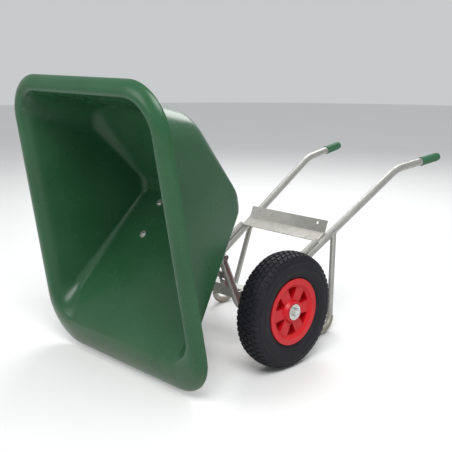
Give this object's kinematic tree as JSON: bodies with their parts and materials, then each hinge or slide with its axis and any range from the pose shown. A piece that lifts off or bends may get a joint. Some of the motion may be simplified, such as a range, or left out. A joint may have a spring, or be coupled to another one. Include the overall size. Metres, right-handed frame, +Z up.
{
  "type": "wheelbarrow",
  "caption": "Tipping wheelbarrow: deep moulded hopper hinged at the front of a bent tube chassis, shown tipped.",
  "frame": {"origin": "on the ground, midway under the wheel axle", "axes": "+X the way it travels, +Y the operator's left, +Z up"},
  "size_m": [1.6641, 0.8356, 0.9767],
  "materials": {
    "galvanised": "galvanised",
    "plate": "galvanised plate",
    "zinc": "zinc plated",
    "hopper_green": "dark green moulded",
    "grip_green": "green soft",
    "black_plastic": "black",
    "tyre": "matt black",
    "tube_rubber": "black rubber",
    "wheel_red": "red moulded",
    "nylon": "pale nylon"
  },
  "bodies": {
    "chassis": {"side_tube_left": "galvanised", "side_tube_right": "galvanised", "stiffening_rail_left": "galvanised", "stiffening_rail_right": "galvanised", "cross_plate": "plate", "axle_beam": "galvanised", "beam_gusset_left": "galvanised", "beam_gusset_right": "galvanised", "crossbar": "galvanised", "leg_left": "galvanised", "leg_right": "galvanised", "foot_shoe_left": "galvanised", "foot_shoe_right": "galvanised", "grip_left": "grip_green", "grip_right": "grip_green", "post_plug_left": "black_plastic", "post_plug_right": "black_plastic", "axle_shaft": "zinc", "axle_spacer_left": "zinc", "axle_spacer_right": "zinc", "hub_washer_left": "zinc", "hub_washer_right": "zinc", "axle_nut_left": "zinc", "axle_nut_right": "zinc", "hinge_bolts": "zinc", "hinge_washers": "zinc", "hinge_nuts": "zinc"},
    "hopper": {"hopper": "hopper_green", "hinge_bracket_left": "plate", "hinge_bracket_right": "plate", "hopper_bolts": "zinc", "hopper_washers": "zinc", "hopper_nuts": "zinc"},
    "wheel_left": {"tyre_left": "tyre", "inner_tube_left": "tube_rubber", "wheel_centre_left": "wheel_red", "hub_bearings_left": "nylon", "valve_left": "tube_rubber"},
    "wheel_right": {"tyre_right": "tyre", "inner_tube_right": "tube_rubber", "wheel_centre_right": "wheel_red", "hub_bearings_right": "nylon", "valve_right": "tube_rubber"}
  },
  "joints": [
    {"name": "hopper_tip", "type": "hinge", "parent": "chassis", "child": "hopper", "pos_m": [0.118, 0, 0.37], "axis": [0, 1, 0], "range_deg": [-107.6, 0]},
    {"name": "wheel_left_spin", "type": "hinge", "parent": "chassis", "child": "wheel_left", "pos_m": [0, 0.352, 0.2], "axis": [0, 1, 0], "continuous": true},
    {"name": "wheel_right_spin", "type": "hinge", "parent": "chassis", "child": "wheel_right", "pos_m": [0, -0.352, 0.2], "axis": [0, 1, 0], "continuous": true}
  ]
}
